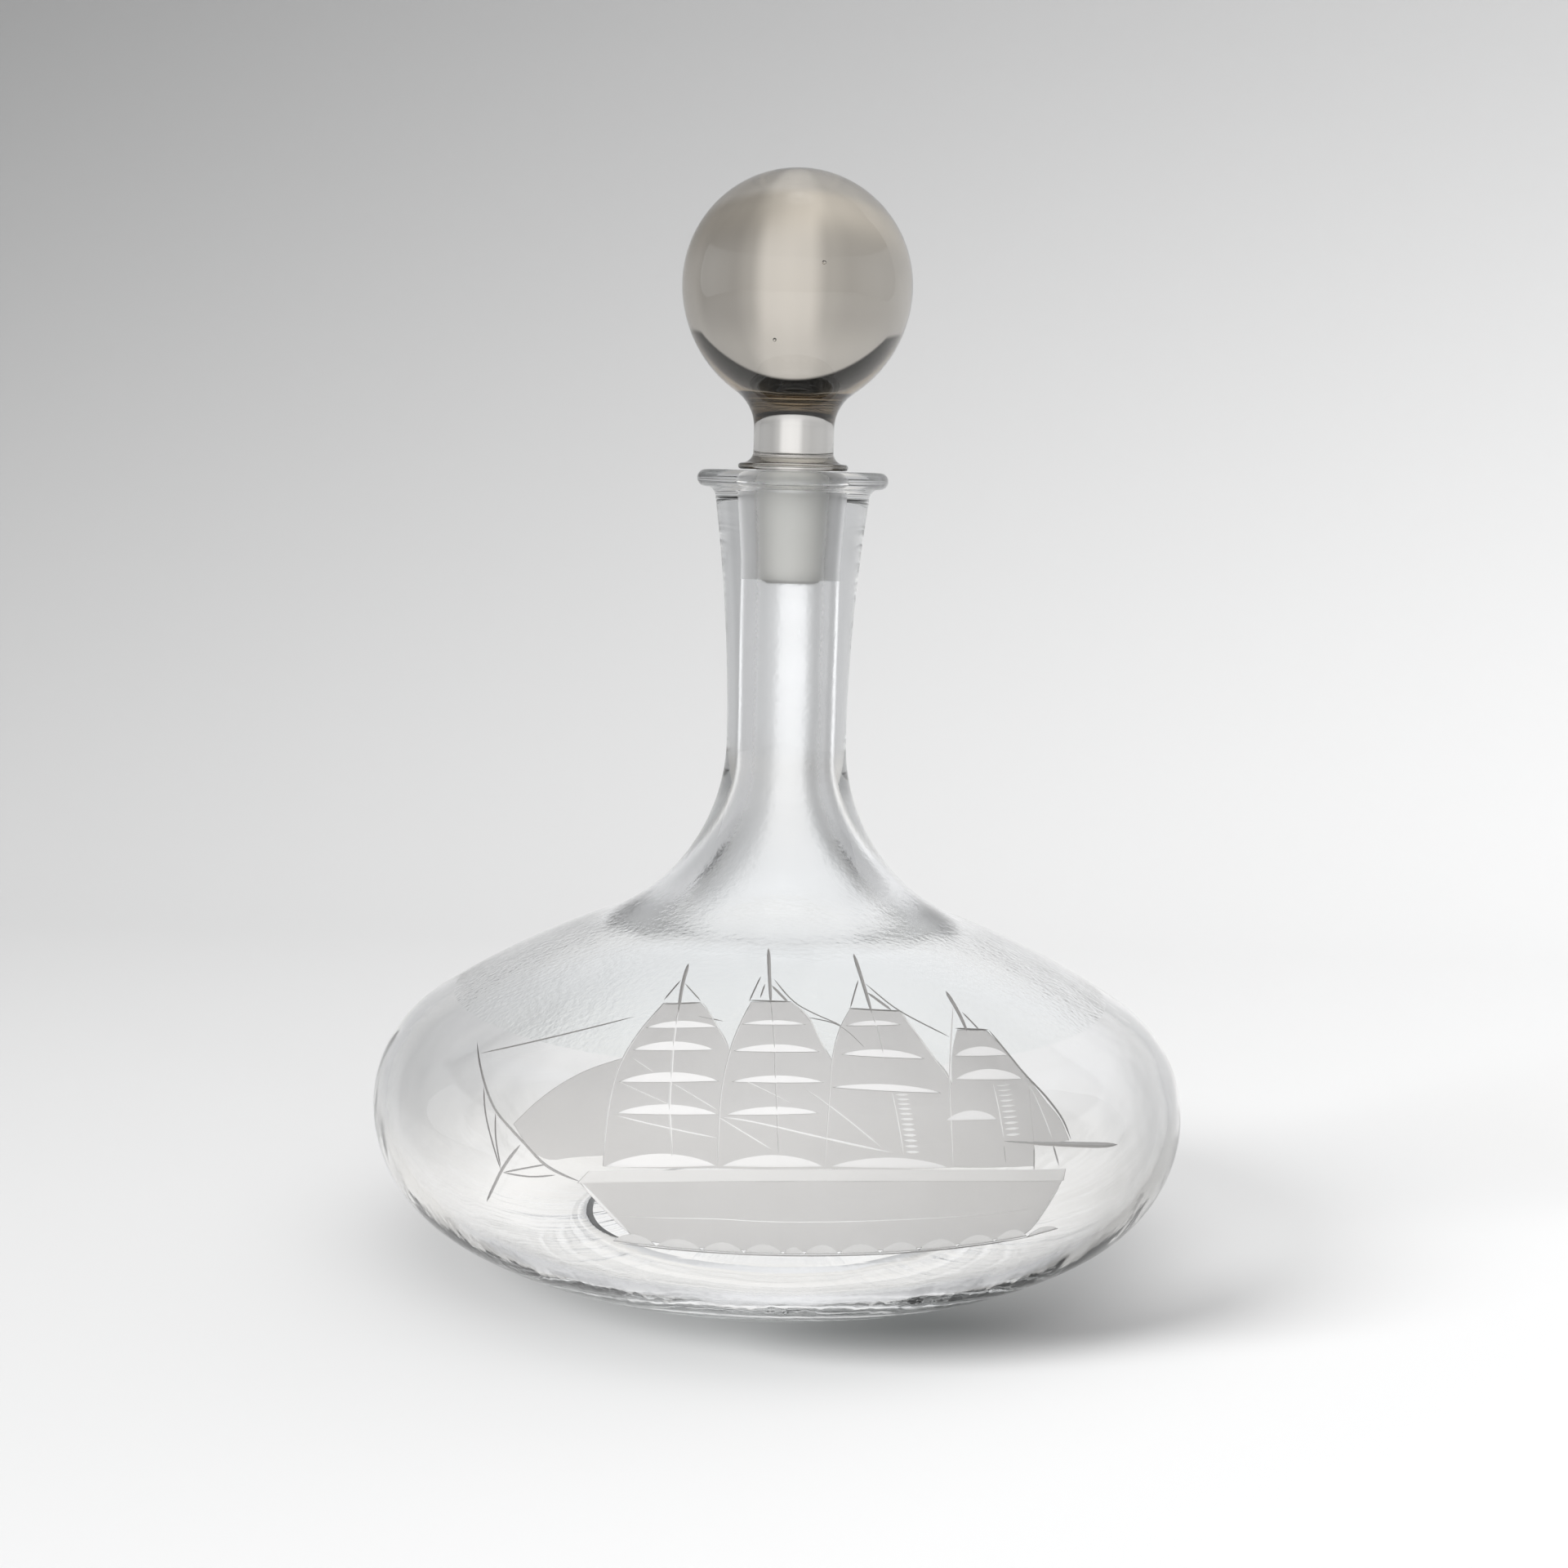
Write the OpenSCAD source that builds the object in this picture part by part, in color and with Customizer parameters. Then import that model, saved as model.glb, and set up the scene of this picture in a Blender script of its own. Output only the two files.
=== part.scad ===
// Ship's decanter: a wide, low glass bowl with a long flared neck, and a solid glass ball stopper
// whose ground peg seats in the neck. Millimetres, +Z up, origin on the table under the axis.

/* [Bowl] */
// Outside diameter of the bowl at its widest
bowl_d = 203; // [190:1:215]
// Radius of the arc above the widest part
upper_round = 29; // [27:0.5:31]
// Angle that the upper arc turns through before the shoulder
upper_turn = 57; // [55:1:59]
// Radius of the long, nearly straight shoulder
shoulder_round = 220; // [200:5:240]
// Radius of the arc below the widest part
lower_round = 32; // [30:0.5:34]
// Angle that the lower arc turns through before the underside
lower_turn = 56; // [53:1:58]
// Radius of the underside, down to the standing ring
under_round = 64; // [60:1:68]
// Glass thickness at the widest part and over the shoulder
bowl_wall = 3.4; // [2.6:0.1:4.5]

/* [Base] */
// Width of the flat that is ground on the standing ring
foot_flat = 1.5; // [1:0.1:2.5]
// Radius of the roll from the flat up into the recess
foot_roll = 4.5; // [4:0.5:6]
// Height of the ground recess inside the standing ring
recess_h = 2.5; // [2:0.5:3.5]
// Extra height of the recess at its centre
recess_rise = 3; // [2:0.5:4]
// Radius of the polished hollow where the pontil rod was broken off
pontil_r = 10; // [8:0.5:13]
// Depth of the polished hollow
pontil_depth = 1.4; // [1:0.1:1.8]
// Radius of the inside floor's hollow ring
floor_round = 50; // [46:1:54]
// Radius of the inside corner below the widest part
inner_lower_round = 27.5; // [26:0.5:29]
// Angle of the inside corner
inner_lower_turn = 55; // [53:1:57]
// Slope where the floor turns over into the push-up
push_up_slope = 12; // [9:0.5:13]

/* [Neck and lip] */
// Outside radius of the neck at its narrowest
neck_r = 14.9; // [14:0.1:16]
// Radius of the sweep from the shoulder into the neck
neck_sweep = 49; // [45:1:55]
// Radius of the long flare up to the lip
neck_flare = 441; // [400:1:480]
// Radius of the bore through the neck
bore_r = 8.2; // [8:0.1:8.4]
// Inside radius of the sweep from the shoulder into the bore
bore_sweep = 44; // [40:1:48]
// Height of the top of the lip
lip_z = 195.4; // [192:0.1:198]
// Outside radius of the lip
lip_r = 23.6; // [22:0.1:25]
// Thickness of the lip, which has a full round edge
lip_t = 4.2; // [3.6:0.1:5]
// Radius of the fillet under the lip
lip_fillet = 2.4; // [1.5:0.1:3]
// Chamfer at the mouth
mouth_chamfer = 0.6; // [0.4:0.1:0.8]

/* [Stopper] */
// Radius of the ball
ball_r = 28.2; // [26:0.1:30]
// Height of the ball's widest part above the lip
ball_rise = 44.8; // [43:0.1:47]
// Radius of the ball's lower side, a little fuller than the ball
ball_lower_round = 31; // [29.5:0.1:32]
// Angle of the lower side, below the widest part, where the waist begins
ball_lower_turn = 56; // [53:0.5:58]
// Radius of the waist
waist_r = 9.9; // [9.6:0.1:10.4]
// Radius of the foot that covers the mouth
foot_r = 13.6; // [13:0.1:14.5]
// Thickness of the foot's rounded edge
foot_t = 1.6; // [1.2:0.1:2]
// Radius of the peg where it leaves the foot
peg_r = 9.1; // [8.9:0.05:9.2]
// Length of the peg below the lip
peg_len = 27; // [24:0.5:30]
// Radius that the peg loses in each millimetre, 1 in 10 on the diameter
taper = 0.05; // [0.04:0.005:0.055]
// Radius of the rounded end of the peg
peg_round = 2.4; // [1.5:0.1:3]
// Gap between the ground peg and the ground bore
joint_gap = 0.15; // [0.1:0.05:0.2]
// Gap under the foot, since the taper carries the stopper
seat_gap = 0.2; // [0.1:0.05:0.3]

/* [Hidden] */
$fn = 180;

// How far a fillet's circle runs past the surfaces it joins, so that they cross cleanly
bite = 0.05;
clear = [0.82, 0.87, 0.88, 0.45];
pale = [0.88, 0.88, 0.84, 0.7];

// A point at radius r and angle a from the centre c
function at(c, r, a) = [c[0] + r * cos(a), c[1] + r * sin(a)];
// Radius of the circle whose segment is w wide to each side and stands sag high
function sag_radius(w, sag) = (w * w + sag * sag) / (2 * sag);

// Outside of the bowl, from the table upwards. Every arc is tangent to the next.
bowl_r = bowl_d / 2;
under_c = [bowl_r - lower_round - (under_round - lower_round) * cos(lower_turn), under_round];
belly_z = under_round - (under_round - lower_round) * sin(lower_turn);
lower_c = [bowl_r - lower_round, belly_z];
upper_c = [bowl_r - upper_round, belly_z];
shoulder_c = at(upper_c, upper_round - shoulder_round, upper_turn);
sweep_turn = acos((neck_r + neck_sweep - shoulder_c[0]) / (shoulder_round + neck_sweep));
sweep_c = at(shoulder_c, shoulder_round + neck_sweep, sweep_turn);
neck_z = sweep_c[1];
flare_c = [neck_r + neck_flare, neck_z];
lip_under_z = lip_z - lip_t;

// Inside of the bowl
inner_r = bowl_r - bowl_wall;
inner_shoulder = shoulder_round - bowl_wall;
inner_lower_c = [inner_r - inner_lower_round, belly_z];
floor_c = at(inner_lower_c, inner_lower_round - floor_round, -inner_lower_turn);
bore_turn = acos((bore_r + bore_sweep - shoulder_c[0]) / (inner_shoulder + bore_sweep));
bore_c = at(shoulder_c, inner_shoulder + bore_sweep, bore_turn);
push_up_edge = at(floor_c, floor_round, -90 - push_up_slope);
push_up_round = push_up_edge[0] / sin(push_up_slope);
push_up_c = [0, push_up_edge[1] - push_up_round * cos(push_up_slope)];

// Base
foot_ring_r = under_c[0];
roll_c = [foot_ring_r - foot_flat, foot_roll];
recess_r = roll_c[0] - sqrt(foot_roll * foot_roll - pow(foot_roll - recess_h, 2));
recess_top = recess_h + recess_rise;
recess_round = sag_radius(recess_r, recess_rise);
pontil_round = sag_radius(pontil_r, pontil_depth);

// Ground joint
mouth_r = peg_r + joint_gap;
ground_len = (mouth_r - bore_r) / taper;

// Stopper
ball_z = lip_z + ball_rise;
lower_ball_c = [ball_r - ball_lower_round, ball_z];
waist_start = at(lower_ball_c, ball_lower_round, -ball_lower_turn);
waist_round = (waist_start[0] - waist_r) / (1 - cos(ball_lower_turn));
waist_c = at(lower_ball_c, ball_lower_round + waist_round, -ball_lower_turn);
foot_z = lip_z + seat_gap;
foot_top = foot_z + foot_t;
peg_end_z = lip_z - peg_len;
// Radius of the peg's side where its rounded end begins
peg_side_r = peg_r - taper * (peg_len - peg_round);

// A slice of a disc between two angles less than half a turn apart
module pie(c, r, from, to) {
    half = (to - from) / 2;
    reach = 1.05 * r / cos(half);
    intersection() {
        translate(c) circle(r);
        polygon([c, at(c, reach, from), at(c, reach, from + half), at(c, reach, to)]);
    }
}

// The part of a shape at a radius above zero and between two heights
module band(low, high) {
    intersection() {
        children();
        translate([0, low]) square([2 * bowl_d, high - low]);
    }
}

// A concave fillet between an upright surface and a flat one. c is the centre of its circle, and
// toward is 1 where the flat surface is above the circle and -1 where it is below.
module fillet(c, r, toward) {
    difference() {
        translate([c[0] - r - 1, c[1] + (toward > 0 ? 0 : -r)]) square([r + 1, r]);
        translate(c + [-bite, toward * bite]) circle(r);
    }
}

// Outline of the outside of the bowl, solid to the axis
module bowl_outside() {
    union() {
        polygon([
            [0, 0], [foot_ring_r, 0], at(lower_c, lower_round, -lower_turn), [bowl_r, belly_z],
            at(upper_c, upper_round, upper_turn), at(shoulder_c, shoulder_round, sweep_turn),
            [0, at(shoulder_c, shoulder_round, sweep_turn)[1]]
        ]);
        pie(under_c, under_round, -90, -lower_turn);
        pie(lower_c, lower_round, -lower_turn, 0);
        pie(upper_c, upper_round, 0, upper_turn);
        band(belly_z, neck_z) pie(shoulder_c, shoulder_round, upper_turn, sweep_turn);
    }
}

// Outline of the neck outside, with its lip
module neck_outside() {
    sweep_start = at(shoulder_c, shoulder_round, sweep_turn);
    fillet_r = flare_c[0] - sqrt(pow(neck_flare, 2) - pow(lip_under_z - neck_z, 2));
    union() {
        difference() {
            polygon([[0, sweep_start[1]], sweep_start, sweep_c, [0, neck_z]]);
            translate(sweep_c) circle(neck_sweep);
        }
        difference() {
            translate([0, neck_z]) square([fillet_r + 1, lip_under_z - neck_z]);
            translate(flare_c) circle(neck_flare, $fn = 720);
        }
        fillet([fillet_r + lip_fillet, lip_under_z - lip_fillet], lip_fillet, 1);
        translate([0, lip_under_z]) square([lip_r - lip_t / 2, lip_t]);
        translate([lip_r - lip_t / 2, lip_z - lip_t / 2]) circle(lip_t / 2);
    }
}

// Outline of the space inside the bowl, from the push-up to the start of the bore
module bowl_inside() {
    sweep_start = at(shoulder_c, inner_shoulder, bore_turn);
    difference() {
        union() {
            polygon([
                [0, push_up_edge[1]], push_up_edge, [floor_c[0], floor_c[1] - floor_round],
                at(inner_lower_c, inner_lower_round, -inner_lower_turn), [inner_r, belly_z],
                at(upper_c, upper_round - bowl_wall, upper_turn), sweep_start, [0, sweep_start[1]]
            ]);
            pie(floor_c, floor_round, -90 - push_up_slope, -inner_lower_turn);
            pie(inner_lower_c, inner_lower_round, -inner_lower_turn, 0);
            pie(upper_c, upper_round - bowl_wall, 0, upper_turn);
            band(belly_z, neck_z) pie(shoulder_c, inner_shoulder, upper_turn, bore_turn);
        }
        band(0, belly_z) pie(push_up_c, push_up_round, 90 - push_up_slope, 90 + push_up_slope);
    }
}

// Outline of the bore, with the ground taper at the top
module bore() {
    sweep_start = at(shoulder_c, inner_shoulder, bore_turn);
    ground_z = lip_z - ground_len;
    union() {
        difference() {
            polygon([[0, sweep_start[1]], sweep_start, bore_c, [0, bore_c[1]]]);
            translate(bore_c) circle(bore_sweep);
        }
        polygon([
            [0, bore_c[1]], [bore_r, bore_c[1]], [bore_r, ground_z],
            [mouth_r - taper * mouth_chamfer, lip_z - mouth_chamfer], [mouth_r + mouth_chamfer, lip_z],
            [mouth_r + mouth_chamfer, lip_z + 1], [0, lip_z + 1]
        ]);
    }
}

// Outline of the recess under the base, with the polished hollow at its centre
module base_recess() {
    union() {
        translate([0, -1]) square([recess_r, 1 + recess_h]);
        difference() {
            translate([recess_r - 1, -1]) square([roll_c[0] - recess_r + 1, 1 + recess_h]);
            translate(roll_c) circle(foot_roll);
            translate([roll_c[0] - bite, -1]) square(1);
        }
        intersection() {
            translate([0, recess_top - recess_round]) circle(recess_round, $fn = 720);
            translate([0, recess_h - 0.5]) square([recess_r, recess_rise + 1]);
        }
        intersection() {
            translate([0, recess_top + pontil_depth - pontil_round]) circle(pontil_round);
            translate([0, recess_h]) square([2 * pontil_r, recess_rise + pontil_depth]);
        }
    }
}

// The glass vessel: bowl, neck and lip are blown as one piece of glass
module decanter_body() {
    color(clear)
    rotate_extrude()
    difference() {
        union() {
            bowl_outside();
            neck_outside();
        }
        bowl_inside();
        bore();
        base_recess();
    }
}

// Outline of the ball, its waist and its foot
module stopper_head() {
    foot_edge_r = foot_r - foot_t / 2;
    foot_flare = foot_edge_r - waist_r;
    union() {
        pie([0, ball_z], ball_r, 0, 90);
        polygon([[0, waist_start[1]], waist_start, [ball_r, ball_z], [0, ball_z]]);
        band(foot_top, ball_z) pie(lower_ball_c, ball_lower_round, -ball_lower_turn, 0);
        difference() {
            polygon([[0, waist_c[1]], waist_c, waist_start, [0, waist_start[1]]]);
            translate(waist_c) circle(waist_round);
        }
        translate([0, foot_top]) square([waist_r, waist_start[1] - foot_top]);
        fillet([foot_edge_r, foot_top + foot_flare], foot_flare, -1);
        translate([0, foot_z]) square([foot_edge_r, foot_t]);
        translate([foot_edge_r, foot_z + foot_t / 2]) circle(foot_t / 2);
    }
}

// The solid glass stopper: the ball, the waist, the foot and the ground peg are one piece of glass
module ball_stopper() {
    color(pale)
    rotate_extrude()
    union() {
        stopper_head();
        polygon([
            [0, peg_end_z + peg_round], [peg_side_r, peg_end_z + peg_round], [peg_r, lip_z],
            [peg_r, foot_z + foot_t / 2], [0, foot_z + foot_t / 2]
        ]);
        translate([0, peg_end_z]) square([peg_side_r - peg_round, peg_round + 1]);
        translate([peg_side_r - peg_round, peg_end_z + peg_round]) circle(peg_round);
    }
}

decanter_body();
ball_stopper();
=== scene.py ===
"""A ship's decanter of clear glass with a ground ball stopper and a sailing ship engraved on the bowl.

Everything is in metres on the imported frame: Z up, the table at zero, the engraved front toward -Y.
The outlines are worked out in millimetres from the maker's sizes below, and turned on the axis.
"""

import math

import bmesh
import bpy
import numpy as np
from mathutils import Matrix, Vector


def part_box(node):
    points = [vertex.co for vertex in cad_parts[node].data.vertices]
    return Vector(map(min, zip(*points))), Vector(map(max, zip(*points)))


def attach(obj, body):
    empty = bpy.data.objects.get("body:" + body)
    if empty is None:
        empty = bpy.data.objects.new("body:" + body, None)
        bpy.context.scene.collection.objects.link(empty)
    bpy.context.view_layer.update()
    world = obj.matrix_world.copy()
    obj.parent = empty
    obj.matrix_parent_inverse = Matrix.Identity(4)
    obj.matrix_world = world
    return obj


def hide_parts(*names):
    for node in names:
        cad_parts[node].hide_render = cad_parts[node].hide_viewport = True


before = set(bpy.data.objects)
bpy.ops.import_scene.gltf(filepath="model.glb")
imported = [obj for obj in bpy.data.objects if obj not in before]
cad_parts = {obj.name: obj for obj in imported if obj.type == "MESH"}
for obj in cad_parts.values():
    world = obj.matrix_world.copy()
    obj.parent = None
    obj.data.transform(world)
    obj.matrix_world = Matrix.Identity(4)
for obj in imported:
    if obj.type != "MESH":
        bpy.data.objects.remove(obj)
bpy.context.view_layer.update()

MM = 0.001
TURN = 2 * math.pi

# ---------------------------------------------------------------- sizes of the glass, in millimetres

BODY_LOW, BODY_HIGH = (corner / MM for corner in map(Vector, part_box("decanter_body")))
STOPPER_LOW, STOPPER_HIGH = (corner / MM for corner in map(Vector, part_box("ball_stopper")))

BOWL_R = 101.46
UPPER_ROUND, UPPER_TURN = 29, 57
SHOULDER_ROUND = 220
LOWER_ROUND, LOWER_TURN = 32, 56
UNDER_ROUND = 64
BOWL_WALL = 3.4

FOOT_FLAT, FOOT_ROLL = 1.5, 4.5
RECESS_H, RECESS_RISE = 2.5, 3
PONTIL_R, PONTIL_DEPTH = 10, 1.4
FLOOR_ROUND = 50
RING_R, RING_HALF, RING_RISE = 29, 2.0, 1.2
INNER_LOWER_ROUND, INNER_LOWER_TURN = 27.5, 55
PUSH_UP_SLOPE = 12

NECK_R, NECK_SWEEP, NECK_FLARE = 14.9, 49, 441
BORE_R, BORE_SWEEP = 8.2, 44
LIP_Z = BODY_HIGH[2]
LIP_R, LIP_T, LIP_FILLET = 23.6, 4.2, 2.4
MOUTH_CHAMFER = 0.6

BALL_R = STOPPER_HIGH[0]
BALL_Z = STOPPER_HIGH[2] - BALL_R
BALL_LOWER_ROUND, BALL_LOWER_TURN = 31, 56
WAIST_R = 9.9
FOOT_R, FOOT_T = 13.6, 1.6
PEG_R, PEG_ROUND, TAPER = 9.1, 2.4, 0.05
PEG_END_Z = STOPPER_LOW[2]
BORE_END_Z = PEG_END_Z + 0.8
JOINT_GAP, SEAT_GAP, GRIND_SPARE = 0.15, 0.2, 0.1
SEED_R = 0.4
SEEDS = [(4.2, 0, BALL_Z + 3.8), (-3.5, 2, BALL_Z - 8.9)]

# How high the satin skin inside starts and is whole, and how far up the mould's marks run.
SKIN_LOW, SKIN_FULL = 62, 110
STREAK_TOP = 26


# ---------------------------------------------------------------- outlines, as (radius, height) points

def at(centre, radius, angle):
    """The point at this radius and angle, in degrees, from a centre."""
    return (
        centre[0] + radius * math.cos(math.radians(angle)),
        centre[1] + radius * math.sin(math.radians(angle)),
    )


def arc(centre, radius, start, end, step=3.0):
    """Points along an arc, at most step degrees apart, with both ends."""
    count = max(2, math.ceil(abs(end - start) / step))
    return [at(centre, radius, start + (end - start) * i / count) for i in range(count + 1)]


def turn_to(centre, radius, upright, sweep):
    """The angle where a round about centre meets a concave sweep that ends on an upright line."""
    return math.degrees(math.acos((upright + sweep - centre[0]) / (radius + sweep)))


def sag_radius(half_width, sag):
    """The radius of a circle segment that is half_width to each side and sag high."""
    return (half_width**2 + sag**2) / (2 * sag)


def without_doubles(points):
    """The same line without points that repeat."""
    line = [points[0]]
    for point in points[1:]:
        if math.dist(point, line[-1]) > 1e-6:
            line.append(point)
    return line


UNDER_C = (
    BOWL_R - LOWER_ROUND - (UNDER_ROUND - LOWER_ROUND) * math.cos(math.radians(LOWER_TURN)),
    UNDER_ROUND,
)
BELLY_Z = UNDER_ROUND - (UNDER_ROUND - LOWER_ROUND) * math.sin(math.radians(LOWER_TURN))
LOWER_C = (BOWL_R - LOWER_ROUND, BELLY_Z)
UPPER_C = (BOWL_R - UPPER_ROUND, BELLY_Z)
SHOULDER_C = at(UPPER_C, UPPER_ROUND - SHOULDER_ROUND, UPPER_TURN)
SWEEP_TURN = turn_to(SHOULDER_C, SHOULDER_ROUND, NECK_R, NECK_SWEEP)
SWEEP_C = at(SHOULDER_C, SHOULDER_ROUND + NECK_SWEEP, SWEEP_TURN)


def bowl_below_the_belly():
    """The outside from the standing ring up to the widest part."""
    return arc(UNDER_C, UNDER_ROUND, -90, -LOWER_TURN, 2) + arc(LOWER_C, LOWER_ROUND, -LOWER_TURN, 0)


def bowl_above_the_belly():
    """The outside from the widest part up to the narrowest part of the neck."""
    return (
        arc(UPPER_C, UPPER_ROUND, 0, UPPER_TURN)
        + arc(SHOULDER_C, SHOULDER_ROUND, UPPER_TURN, SWEEP_TURN, 1)
        + arc(SWEEP_C, NECK_SWEEP, 180 + SWEEP_TURN, 180)
    )


def neck_and_lip():
    """The outside from the narrowest part of the neck over the lip to the mouth."""
    neck_z = SWEEP_C[1]
    lip_under = LIP_Z - LIP_T
    flare_end = math.degrees(math.asin((lip_under - LIP_FILLET - neck_z) / NECK_FLARE))
    flare = arc((NECK_R + NECK_FLARE, neck_z), NECK_FLARE, 180, 180 - flare_end, 1)
    fillet_c = (flare[-1][0] + LIP_FILLET, lip_under - LIP_FILLET)
    fillet = arc(fillet_c, LIP_FILLET, 180, 90, 15)
    edge = arc((LIP_R - LIP_T / 2, LIP_Z - LIP_T / 2), LIP_T / 2, -90, 90, 12)
    mouth_r = PEG_R + JOINT_GAP
    return flare + fillet + edge + [(mouth_r + MOUTH_CHAMFER, LIP_Z), (mouth_r, LIP_Z - MOUTH_CHAMFER)]


def inside():
    """The inside from the ground seat down the bore, round the bowl and over the floor to the axis."""
    ground_z = LIP_Z - (PEG_R + JOINT_GAP - BORE_R) / TAPER
    inner_shoulder = SHOULDER_ROUND - BOWL_WALL
    bore_turn = turn_to(SHOULDER_C, inner_shoulder, BORE_R, BORE_SWEEP)
    bore_c = at(SHOULDER_C, inner_shoulder + BORE_SWEEP, bore_turn)
    corner_c = (BOWL_R - BOWL_WALL - INNER_LOWER_ROUND, BELLY_Z)
    floor_c = at(corner_c, INNER_LOWER_ROUND - FLOOR_ROUND, -INNER_LOWER_TURN)
    edge = at(floor_c, FLOOR_ROUND, -90 - PUSH_UP_SLOPE)
    push_up_round = edge[0] / math.sin(math.radians(PUSH_UP_SLOPE))
    push_up_c = (0, edge[1] - push_up_round * math.cos(math.radians(PUSH_UP_SLOPE)))
    return (
        [(BORE_R, ground_z), (BORE_R, BORE_END_Z)]
        + arc(bore_c, BORE_SWEEP, 180, 180 + bore_turn)
        + arc(SHOULDER_C, inner_shoulder, bore_turn, UPPER_TURN, 1)
        + arc(UPPER_C, UPPER_ROUND - BOWL_WALL, UPPER_TURN, 0)
        + arc(corner_c, INNER_LOWER_ROUND, 0, -INNER_LOWER_TURN)
        + arc(floor_c, FLOOR_ROUND, -INNER_LOWER_TURN, -90 - PUSH_UP_SLOPE)
        + arc(push_up_c, push_up_round, 90 - PUSH_UP_SLOPE, 90, 1)
    )


def swell(share):
    """A soft ridge: 1 in its middle, 0 from one share away."""
    return math.cos(math.pi / 2 * min(1, abs(share))) ** 2


def underside():
    """The outside of the base, from the axis to the standing ring."""
    roll_c = (UNDER_C[0] - FOOT_FLAT, FOOT_ROLL)
    roll_start = 270 - math.degrees(math.acos((FOOT_ROLL - RECESS_H) / FOOT_ROLL))
    recess_edge = at(roll_c, FOOT_ROLL, roll_start)
    dome_round = sag_radius(recess_edge[0], RECESS_RISE)
    dome_c = (0, RECESS_H + RECESS_RISE - dome_round)
    hollow_round = sag_radius(PONTIL_R, PONTIL_DEPTH)
    hollow_c = (0, dome_c[1] + dome_round + PONTIL_DEPTH - hollow_round)
    hollow_half = math.degrees(math.asin(PONTIL_R / hollow_round))
    dome_in = math.degrees(math.asin(PONTIL_R / dome_round))
    dome_out = math.degrees(math.asin(recess_edge[0] / dome_round))
    dome = arc(dome_c, dome_round, 90 - dome_in, 90 - dome_out, 0.25)
    return (
        arc(hollow_c, hollow_round, 90, 90 - hollow_half)
        + [(r, z - RING_RISE * swell((r - RING_R) / RING_HALF)) for r, z in dome]
        + arc(roll_c, FOOT_ROLL, roll_start, 270, 8)
    )


def outer_outline():
    """The outside of the glass, from the axis under the base to the mouth."""
    return underside() + bowl_below_the_belly() + bowl_above_the_belly() + neck_and_lip()


def decanter_outline():
    """The whole outline of the glass, from the axis under the base to the axis over the floor."""
    return without_doubles(outer_outline() + inside())


def stopper_outline():
    """The outline of the stopper, from the end of the peg to the top of the ball."""
    foot_z = LIP_Z + SEAT_GAP
    foot_edge = FOOT_R - FOOT_T / 2
    flare = foot_edge - WAIST_R
    lower_c = (BALL_R - BALL_LOWER_ROUND, BALL_Z)
    waist_start = at(lower_c, BALL_LOWER_ROUND, -BALL_LOWER_TURN)
    waist_round = (waist_start[0] - WAIST_R) / (1 - math.cos(math.radians(BALL_LOWER_TURN)))
    waist_c = at(lower_c, BALL_LOWER_ROUND + waist_round, -BALL_LOWER_TURN)
    side_r = PEG_R - TAPER * (LIP_Z - PEG_END_Z - PEG_ROUND)
    return without_doubles(
        [(0, PEG_END_Z)]
        + arc((side_r - PEG_ROUND, PEG_END_Z + PEG_ROUND), PEG_ROUND, -90, 0, 10)
        + [(PEG_R, LIP_Z), (PEG_R, foot_z)]
        + arc((foot_edge, foot_z + FOOT_T / 2), FOOT_T / 2, -90, 90, 15)
        + arc((WAIST_R + flare, foot_z + FOOT_T + flare), flare, 270, 180, 8)
        + arc(waist_c, waist_round, 180, 180 - BALL_LOWER_TURN, 4)
        + arc(lower_c, BALL_LOWER_ROUND, -BALL_LOWER_TURN, 0)
        + arc((0, BALL_Z), BALL_R, 0, 90)
    )


# ---------------------------------------------------------------- objects and node trees

def new_object(name, data):
    """An object with this mesh, light or camera, put into the scene."""
    obj = bpy.data.objects.new(name, data)
    bpy.context.scene.collection.objects.link(obj)
    return obj


def lines_object(name, *lines):
    """Lines of points as one mesh of points and edges, each line its own run."""
    points, edges = [], []
    for line in lines:
        start = len(points)
        points += line
        edges += [(start + i, start + i + 1) for i in range(len(line) - 1)]
    mesh = bpy.data.meshes.new(name)
    mesh.from_pydata(points, edges, [])
    return new_object(name, mesh)


def outline_object(name, outline):
    """An outline in millimetres as a line in the XZ plane, in metres."""
    return lines_object(name, [(r * MM, 0, z * MM) for r, z in outline])


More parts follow.
